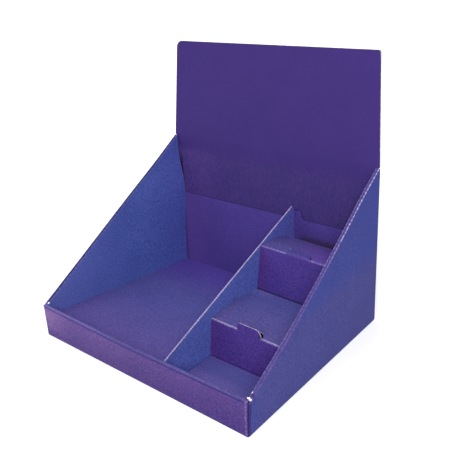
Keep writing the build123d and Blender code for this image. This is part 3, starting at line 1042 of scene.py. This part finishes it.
# Wear and painted shade at the five folds in turn: the outward ones are rubbed pale, the inward
# ones get painted shade.
fold_wear_and_shade = (-0.35, 0.34, -1.0, 0.34, -1.0)
rear_tab_tilt = radians(33)
rear_tab_low = 0.105
arches = ((fold_points[2], fold_points[3], 0.0042), (fold_points[4], fold_points[5], 0.0026))
for corner in sheet.verts:
    seen_end = corner.co.yz
    corner[along_layer] = corner.co.x
    corner[cut_layer] = far_off
    distances = [(seen_end - point).length for point in folds]
    nearest = distances.index(min(distances))
    corner[fold_layer] = max(0.0, distances[nearest] - 0.0003)
    corner[wear_and_shade_layer] = fold_wear_and_shade[nearest]
    aside = corner.co.x - tab_middle
    beyond = corner.co.y - fold_points[4].x
    if abs(aside) < stop_half:
        if from_line(seen_end, fold_points[2], tab_top)[0] < 0.0011:
            corner[wear_and_shade_layer] = 0.0
        # Where the rear stop tab is tipped up, its fold gets painted shade.
        elif distances[3] < 0.003:
            corner[wear_and_shade_layer] = -0.35
    over_x, over_y = aside - stop_half + stop_round, beyond - stop_height + stop_round
    rounded_off = over_x > 0 and over_y > 0 and hypot(over_x, over_y) > stop_round + 0.0002
    on_rear_tab = abs(aside) < stop_half + 0.0001 and 0.0 < beyond < stop_height + 0.0002
    if on_rear_tab and not rounded_off and corner.co.z > rear_tab_low:
        corner.co.z += beyond * sin(rear_tab_tilt)
        corner.co.y -= beyond * (1 - cos(rear_tab_tilt))
        continue
    for start, stop, arch_height in arches:
        if start.x < corner.co.y < stop.x and from_line(seen_end, start, stop)[0] < 0.0012:
            part = (corner.co.y - start.x) / (stop.x - start.x)
            corner.co.z += arch_height * sin(pi * part**0.85)

# Both treads have sunk a little, further to the right. The mesh notes by how much, as "run".
front_sunk = 0.0025
rear_sunk = -0.0008
sunk_to_right = 0.0035
run_layer = notes_of(sheet, "run")[0]
for corner in sheet.verts:
    sunk = blend_to(front_sunk, rear_sunk, (corner.co.z - 0.062) / 0.045)
    sunk += sunk_to_right * (corner.co.x - low.x) / (high.x - low.x)
    sunk *= blend_to(0, 1, (corner.co.z - 0.006) / 0.045)
    corner[run_layer] = sunk
    corner.co.z -= sunk


def insert_ink(ink, where, place, facing):
    """Floor and treads are blue-violet, the rear tread redder towards its right, with painted light
    where the walls cast shade; the risers are redder at the left end and get painted shade at the
    foot;
    painted shade lies beside the front stop tab, and painted shade darkens the rear stop tab."""
    x, y, z = place
    z = reckon("ADD", z, noted(where, "run"))
    # Floor, then the front tread, then the rear one. The floor's front left and the front tread's
    # rear left get painted light where the walls cast shade.
    lit = zone((y, -0.078, -0.1), (x, 0.22, 0.07))
    level = tint(lit, (0.078, 0.0745, 0.275), (0.140, 0.110, 0.365))
    tread = tint(fade(y, -0.045, 0.03), (0.080, 0.069, 0.236), (0.077, 0.079, 0.285))
    shaded = zone((y, 0.02, 0.04), (x, 0.085, 0.055))
    tread = tint(shaded, tread, (0.112, 0.110, 0.345))
    level = tint(fade(z, 0.03, 0.05), level, tread)
    to_right = fade(x, low.x + 0.02, high.x - 0.04)
    tread = tint(to_right, (0.079, 0.066, 0.243), (0.101, 0.059, 0.285))
    on_rear = fade(y, fold_points[4].x - 0.004, fold_points[4].x)
    level = tint(on_rear, level, tread)
    # Risers, with a ragged line of painted shade at the foot.
    rear_riser = fade(y, fold_points[3].x - 0.008, fold_points[3].x - 0.004)
    upright = tint(rear_riser, (0.062, 0.034, 0.214), (0.052, 0.030, 0.192))
    left_end = fade(x, low.x + 0.022, low.x)
    upright = tint(times(left_end, 0.5), upright, (0.080, 0.026, 0.170))
    rear_rise = fold_points[3].y - fold_points[1].y
    foot = reckon("MULTIPLY_ADD", rear_riser, rear_rise, fold_points[1].y)
    above_foot = reckon("SUBTRACT", z, foot)
    above_foot = reckon("MULTIPLY_ADD", speckle(where, 260.0, 2.0), -0.002, above_foot)
    dark_foot = tint(rear_riser, (0.046, 0.018, 0.120), (0.022, 0.011, 0.055))
    upright = tint(fade(above_foot, 0.0034, 0.0008), upright, dark_foot)
    ink = tint(fade(facing[2], 0.3, 0.8), upright, level)
    # The rear stop tab is painted darker than the tread that it rises from: painted shade on the
    # tab.
    height = reckon("MULTIPLY_ADD", reckon("SUBTRACT", y, fold_points[4].x), -0.42, z)
    aside = reckon("ABSOLUTE", reckon("SUBTRACT", x, tab_middle))
    risen = zone((height, 0.1119, 0.1123), (aside, 0.0181, 0.0177))
    ink = tint(risen, ink, stain(ink, (0.50, 0.65, 0.68)))
    # Painted shade beside the front stop tab, running on from the hole it leaves.
    notch_shade_centre = (tab_middle + stop_half - 0.0012, fold_points[2].x + 0.0024, 0.0549)
    notch_shade_distance = distance_from(where, notch_shade_centre)
    ragged_notch_shade = reckon("MULTIPLY_ADD", speckle(where, 900.0, 1.0), 0.0022, notch_shade_distance)
    return tint(fade(ragged_notch_shade, 0.0050, 0.0038), ink, (0.008, 0.006, 0.014))


insert_print = printed_board("insert_print", insert_ink)


def tab_edges(edge, where):
    """Cut edges further back than the front stop tab are darker."""
    return tint(fade(split(where)[1], 0.0, 0.02), edge, (0.22, 0.19, 0.44))


insert_edge = raw_edge("insert_edge", "along", (0.66, 0.58, 0.84), tab_edges)
insert = finish_sheet("step_insert_board", sheet, (insert_print, insert_edge))
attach(insert, "root")
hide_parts("step_insert")

# Back liner. A flat board standing in front of the back wall, as high as the divider's back end;
# it has a small ear beside the divider's slot. Its top edge is dark and hardly shows.
low, high = liner_low, liner_high
sheet = cut_up("back_liner", steps(low.x, high.x, 0.01), (), steps(low.z, high.z, 0.01))
note_board(sheet, 0, lambda normal: abs(normal.y) < 0.5)


def liner_ink(ink, where, place, facing):
    """Painted light near the left wall, where that wall casts shade; painted shade where the liner
    goes down behind the rear tread and beside the left wall's slack ply.
    """
    x, y, z = place
    # Painted light near the left wall.
    near_left = fade(x, left_x + 0.09, left_x + 0.01)
    ink = tint(near_left, (0.064, 0.041, 0.225), (0.087, 0.050, 0.252))
    # Painted shade where the liner goes down behind the rear tread.
    tread_z = reckon("MULTIPLY_ADD", x, 0.03, z)
    ragged = reckon("MULTIPLY_ADD", speckle(where, 300.0, 3.0, 0.8), -0.018, tread_z)
    hidden = zone((ragged, 0.0967, 0.0907), (x, divider_x + 0.006, divider_x + 0.018))
    ink = tint(hidden, ink, (0.050, 0.030, 0.112))
    # Painted shade beside the left wall's slack ply.
    beside_ply = fade(x, left_x + 0.0125, left_x + 0.0095)
    return tint(times(beside_ply, 0.35), ink, (0.016, 0.010, 0.040))


liner_print = printed_board("liner_print", liner_ink, grain_depth=1.9)
liner_edge = raw_edge("liner_edge", "along", (0.040, 0.028, 0.12))
liner = finish_sheet("back_liner_board", sheet, (liner_print, liner_edge))
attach(liner, "root")
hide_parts("back_liner")

# Deck. The false floor of the wide bay: a board sloping up towards the front wall, where it is
# folded down into a short leg. Its print goes from purple in front to violet at the back.
low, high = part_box("bay_deck")
sheet = cut_up("bay_deck", *(steps(low[axis], high[axis], 0.01) for axis in range(3)))
note_board(sheet, 0, lambda normal: abs(normal.x) > 0.6)


def deck_ink(ink, where, place, facing):
    """Purple in front, with painted light along the front wall where it casts shade, bluer in the
    middle, violet at the back.
    """
    x, y, z = place
    level = tint(fade(y, -0.11, 0.0), (0.096, 0.076, 0.278), (0.081, 0.081, 0.291))
    # Painted light along the front wall, where it casts shade.
    level = tint(fade(y, -0.12, -0.135), level, (0.116, 0.090, 0.320))
    level = tint(fade(y, 0.02, 0.12), level, (0.090, 0.057, 0.315))
    return tint(fade(facing[2], 0.3, 0.8), ink, level)


deck_print = printed_board("deck_print", deck_ink)
deck_edge = raw_edge("deck_edge", "along", (0.12, 0.09, 0.32))
deck = finish_sheet("bay_deck_board", sheet, (deck_print, deck_edge))
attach(deck, "root")
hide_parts("bay_deck")
